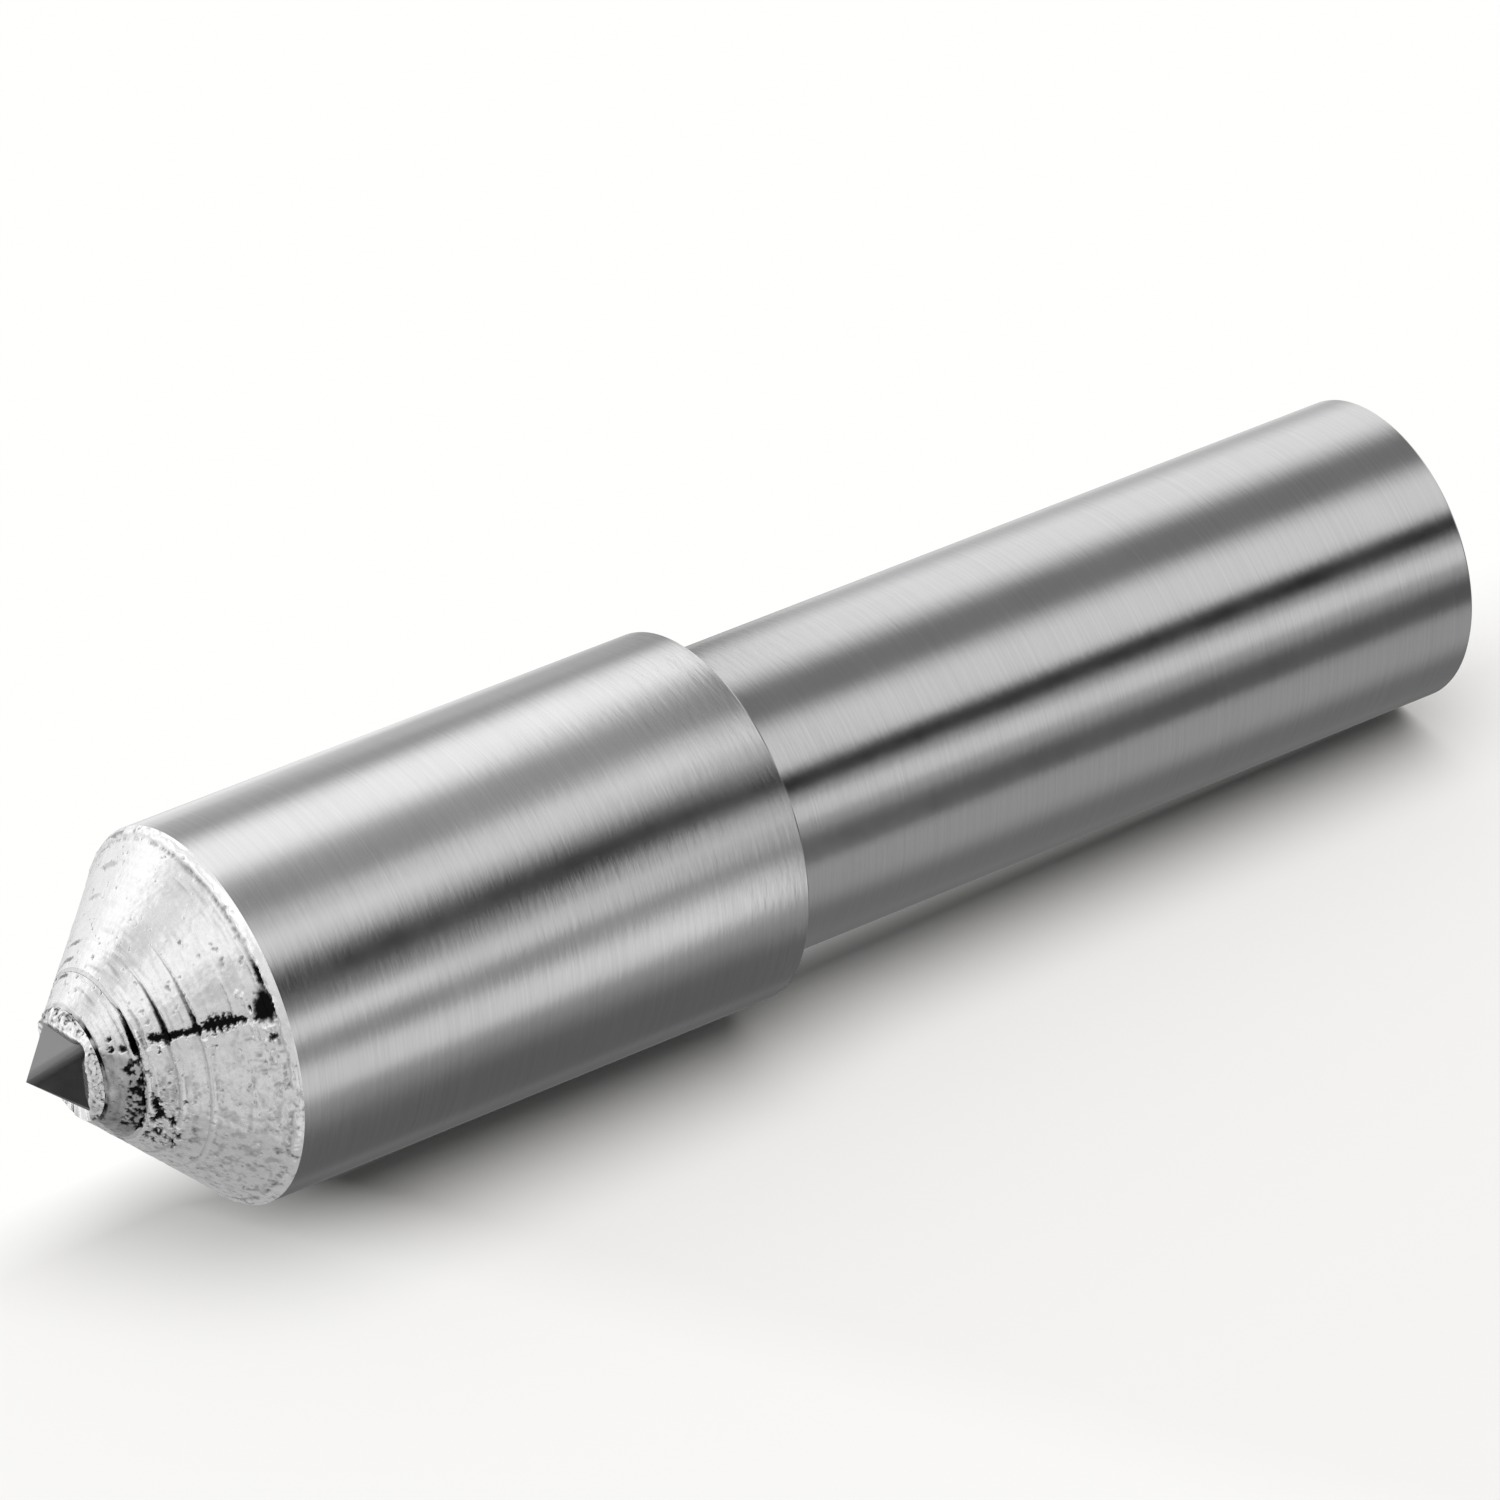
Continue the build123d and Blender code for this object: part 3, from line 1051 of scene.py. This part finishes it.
def floor_material():
    """Matt white that keeps the shadow on the camera's side and is pure white beyond the tool.

    In front of the cone painted light brightens it and partly lifts the shadow there, and seen
    from behind it isn't there.
    """
    made, tree, shader = material("floor")
    shader.inputs["Base Color"].default_value = FLOOR_COLOUR
    shader.inputs["Roughness"].default_value = 1.0
    shader.inputs["Specular IOR Level"].default_value = 0.0
    place = add(tree, "ShaderNodeNewGeometry")
    path = add(tree, "ShaderNodeLightPath")
    white = add(tree, "ShaderNodeEmission", Color=FLOOR_WHITE, Strength=1.0)
    whitest = add(tree, "ShaderNodeMath", operation="MAXIMUM")
    ramps = (
        (far_side, 1, FAR_SIDE_START, FAR_SIDE_END),
        (Vector((0, 0, 1)) - far_side * FRONT_LEAN, FRONT_WHITE, FRONT_START, FRONT_END),
    )
    for socket, (across, most, start, end) in zip(whitest.inputs, ramps):
        reach = add(tree, "ShaderNodeVectorMath", operation="DOT_PRODUCT")
        reach.inputs[1].default_value = across
        tree.links.new(place.outputs["Position"], reach.inputs[0])
        tree.links.new(remap(tree, reach.outputs["Value"], 0, most, start, end), socket)
    factor = add(tree, "ShaderNodeMath", operation="MULTIPLY")
    tree.links.new(whitest.outputs[0], factor.inputs[0])
    tree.links.new(path.outputs["Is Camera Ray"], factor.inputs[1])
    lit = add(tree, "ShaderNodeMixShader")
    tree.links.new(factor.outputs[0], lit.inputs["Fac"])
    tree.links.new(shader.outputs["BSDF"], lit.inputs[1])
    tree.links.new(white.outputs["Emission"], lit.inputs[2])
    see_through = add(tree, "ShaderNodeBsdfTransparent")
    one_sided = add(tree, "ShaderNodeMixShader")
    tree.links.new(place.outputs["Backfacing"], one_sided.inputs["Fac"])
    tree.links.new(lit.outputs["Shader"], one_sided.inputs[1])
    tree.links.new(see_through.outputs["BSDF"], one_sided.inputs[2])
    tree.links.new(one_sided.outputs["Shader"], tree.nodes["Material Output"].inputs["Surface"])
    return made


floor_mesh = bpy.data.meshes.new("floor")
corner_sides = ((-1, -1), (1, -1), (1, 1), (-1, 1))
floor_corners = [(x * FLOOR_HALF_SIZE, y * FLOOR_HALF_SIZE, 0) for x, y in corner_sides]
floor_mesh.from_pydata(floor_corners, [], [(0, 1, 2, 3)])
floor = add_object("floor", floor_mesh)
floor.rotation_mode = "QUATERNION"
floor.rotation_quaternion = floor_normal.to_track_quat("Z", "Y")
floor.location = -floor_side * shank_radius - floor_normal * FLOOR_CLEARANCE
floor_mesh.materials.append(floor_material())
floor.visible_glossy = False

# Light tent: strips of soft light and dark card round the tool, which only its gloss reflects
TENT_RADIUS = 90 * MM
TENT_COLUMNS = 720
# Diffuse depth below which light hasn't come by way of the floor
STRAIGHT_LIGHT = 0.5
# Each strip: angle round the tool, half width, brightness
HEAD_FRONT_STRIPS = (
    (-150, 22, 1.12),
    (-127, 14, 0.58),
    (-84, 27, 1.32),
    (-47, 12, 0.25),
    (-19, 15, 0.98),
    (8, 19, 0.0),
    (29, 9, 1.06),
    (44, 9, 0.27),
    (61, 15, 0.80),
    (117, 50, 0.14),
    (160, 22, 0.15),
)
HEAD_STRIPS = (
    (-162, 20, 1.0),
    (-139, 16, 0.62),
    (-90, 29, 1.30),
    (-28, 17, 0.95),
    (0, 15, 0.02),
    (25, 11, 0.85),
    (41, 8, 0.32),
    (60, 17, 0.88),
    (116, 50, 0.14),
    (158, 22, 0.15),
)
HEAD_REAR_STRIPS = (
    (-172, 20, 0.66),
    (-144, 18, 0.50),
    (-101, 27, 1.40),
    (-37, 16, 1.15),
    (-7, 14, 0.0),
    (14, 11, 1.04),
    (33, 8, 0.34),
    (54, 18, 1.3),
    (116, 50, 0.14),
    (158, 22, 0.15),
)
SHOULDER_STRIPS = (
    (-162, 18, 0.45),
    (-142, 20, 0.16),
    (-108, 37, 0.35),
    (-61, 22, 0.08),
    (-22, 27, 0.27),
    (3, 12, 0.0),
    (25, 11, 0.2),
    (54, 18, 0.0),
    (82, 22, 0.32),
    (128, 40, 0.20),
    (162, 22, 0.18),
)
SHANK_STRIPS = (
    (-162, 18, 0.78),
    (-142, 20, 0.61),
    (-108, 37, 1.06),
    (-61, 22, 0.22),
    (-23, 28, 0.90),
    (3, 12, 0.0),
    (25, 11, 0.84),
    (54, 18, 0.11),
    (82, 22, 0.41),
    (128, 40, 0.20),
    (162, 22, 0.18),
)
CONE_STRIPS = (
    (-172, 24, 0.82),
    (-143, 18, 1.02),
    (-123, 13, 1.28),
    (-96, 18, 0.84),
    (-54, 28, 1.16),
    (-12, 16, 0.78),
    (72, 30, 0.77),
    (136, 44, 0.50),
)
UPPER_FACE_STRIPS = CONE_STRIPS + ((-110, 14, 1.38),)
LOWER_FACE_STRIPS = CONE_STRIPS + ((67, 13, 0.10),)
# Each zone: brightness between its strips, even share of each strip, strips
SHANK_ZONE = (0.42, 0.3, SHANK_STRIPS)
SHOULDER_ZONE = (0.15, 0.3, SHOULDER_STRIPS)
HEAD_REAR_ZONE = (0.44, 0.3, HEAD_REAR_STRIPS)
HEAD_ZONE = (0.40, 0.3, HEAD_STRIPS)
HEAD_FRONT_ZONE = (0.42, 0.3, HEAD_FRONT_STRIPS)
CONE_ZONE = (0.66, 0.7, CONE_STRIPS)
UPPER_FACE_ZONE = (0.66, 0.7, UPPER_FACE_STRIPS)
LOWER_FACE_ZONE = (0.66, 0.7, LOWER_FACE_STRIPS)
# The tent's rows: height, zone
TENT_ROWS = (
    (-400 * MM, SHANK_ZONE),
    (-32 * MM, SHANK_ZONE),
    (-23 * MM, SHOULDER_ZONE),
    (-21.5 * MM, HEAD_REAR_ZONE),
    (-9 * MM, HEAD_ZONE),
    (10 * MM, HEAD_FRONT_ZONE),
    (16 * MM, CONE_ZONE),
    (70 * MM, CONE_ZONE),
    (74 * MM, UPPER_FACE_ZONE),
    (90 * MM, UPPER_FACE_ZONE),
    (94 * MM, CONE_ZONE),
    (101 * MM, CONE_ZONE),
    (105 * MM, LOWER_FACE_ZONE),
    (127 * MM, LOWER_FACE_ZONE),
    (131 * MM, CONE_ZONE),
    (500 * MM, CONE_ZONE),
)


def strip_light(angle, base, core, strips):
    """Brightness round the tent at each angle."""
    light = np.full(angle.shape, base)
    for centre, half_width, brightness in strips:
        weight = 1 - rise(np.abs(turn_gap(angle, centre)), core * half_width, half_width)
        light += weight * (brightness - light)
    return light


def tent_material():
    """Light that reaches the metal's gloss straight, and not by way of the floor."""
    made = bpy.data.materials.new("light_tent")
    made.use_nodes = True
    tree = made.node_tree
    tree.nodes.clear()
    output = add(tree, "ShaderNodeOutputMaterial")
    emission = add(tree, "ShaderNodeEmission")
    glow = add(tree, "ShaderNodeAttribute", attribute_name="glow")
    path = add(tree, "ShaderNodeLightPath")
    direct = add(tree, "ShaderNodeMath", operation="LESS_THAN")
    direct.inputs[1].default_value = STRAIGHT_LIGHT
    strength = add(tree, "ShaderNodeMath", operation="MULTIPLY")
    tree.links.new(path.outputs["Diffuse Depth"], direct.inputs[0])
    tree.links.new(glow.outputs["Fac"], strength.inputs[0])
    tree.links.new(direct.outputs[0], strength.inputs[1])
    tree.links.new(strength.outputs[0], emission.inputs["Strength"])
    tree.links.new(emission.outputs["Emission"], output.inputs["Surface"])
    return made


def make_tent():
    """Open tube round the tool, seen by glossy rays alone."""
    angle = np.arange(TENT_COLUMNS) * 360 / TENT_COLUMNS
    vertices, glow, faces = [], [], []
    spokes = np.radians(angle)
    ring = np.stack([-np.sin(spokes), -np.cos(spokes)], axis=1) * TENT_RADIUS
    for row, (z, zone) in enumerate(TENT_ROWS):
        vertices += [(x, y, z) for x, y in ring.tolist()]
        glow.append(strip_light(angle, *zone))
        for i in range(TENT_COLUMNS if row else 0):
            j = (i + 1) % TENT_COLUMNS
            low, high = (row - 1) * TENT_COLUMNS, row * TENT_COLUMNS
            faces.append((low + i, low + j, high + j, high + i))
    mesh = bpy.data.meshes.new("light_tent")
    mesh.from_pydata(vertices, [], faces)
    values = mesh.attributes.new("glow", "FLOAT", "POINT")
    values.data.foreach_set("value", np.concatenate(glow).astype(np.float32))
    mesh.materials.append(tent_material())
    tent = add_object("light_tent", mesh)
    tent.visible_camera = False
    tent.visible_diffuse = False
    tent.visible_transmission = False
    tent.visible_shadow = False


make_tent()

# World and lamp: an even white studio with a large soft lamp over the floor
WORLD_STRENGTH = 0.32
LAMP_STRENGTH = 2.2
LAMP_SPREAD = 60
LAMP_LEAN = 12

world = bpy.data.worlds.new("studio")
bpy.context.scene.world = world
world.use_nodes = True
background = world.node_tree.nodes["Background"]
background.inputs["Color"].default_value = (1, 1, 1, 1)
background_path = add(world.node_tree, "ShaderNodeLightPath")
seen = remap(world.node_tree, background_path.outputs["Is Camera Ray"], WORLD_STRENGTH, 1.0)
world.node_tree.links.new(seen, background.inputs["Strength"])

lamp_data = bpy.data.lights.new("soft_lamp", "SUN")
lamp_data.energy = LAMP_STRENGTH
lamp_data.angle = math.radians(LAMP_SPREAD)
lamp = add_object("soft_lamp", lamp_data)
lean = math.radians(LAMP_LEAN)
lamp_side = floor_side * math.cos(lean) - far_side * math.sin(lean)
lamp.rotation_mode = "QUATERNION"
lamp.rotation_quaternion = (-lamp_side).to_track_quat("-Z", "Y")
lamp.visible_glossy = False

bpy.context.scene.view_settings.view_transform = "Standard"
